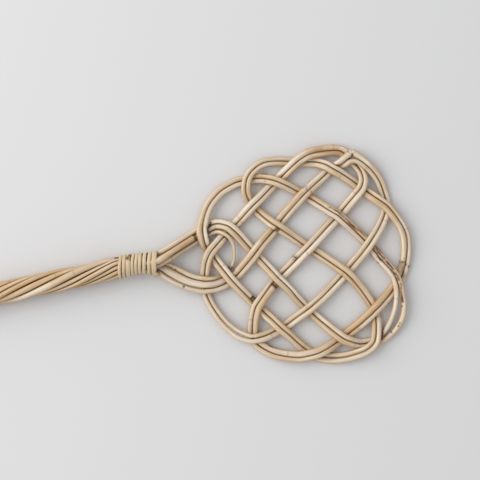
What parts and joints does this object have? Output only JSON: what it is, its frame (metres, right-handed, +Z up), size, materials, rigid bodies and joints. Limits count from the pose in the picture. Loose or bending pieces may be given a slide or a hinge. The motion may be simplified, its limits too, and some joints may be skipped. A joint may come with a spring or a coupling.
{
  "type": "rattan carpet beater",
  "caption": "Hand-tied rattan carpet beater: a round knot head of paired canes on a twisted cane handle, bound with peel at the neck and the butt.",
  "frame": {"origin": "under the middle of the beater, on the floor that it lies on", "axes": "+X along the handle to the head, +Z up out of the floor"},
  "size_m": [0.6038, 0.217, 0.0265],
  "materials": {
    "cane": "peeled rattan cane, bare, faintly waxy",
    "fine_cane": "thin peeled rattan cane, bare",
    "core_rod": "straight rattan rod, bare, sawn across at the butt",
    "cane_peel": "split cane peel, smooth side out"
  },
  "bodies": {
    "root": {"cane_inner_loop": "fine_cane", "cane_left_1": "cane", "cane_left_2": "cane", "cane_left_3": "cane", "cane_left_4": "cane", "cane_right_1": "cane", "cane_right_2": "cane", "cane_right_3": "cane", "cane_right_4": "cane", "core_stick": "core_rod", "end_binding": "cane_peel", "filler_cane_1": "cane", "filler_cane_2": "cane", "filler_cane_3": "cane", "filler_cane_4": "cane", "neck_binding": "cane_peel"}
  },
  "joints": []
}
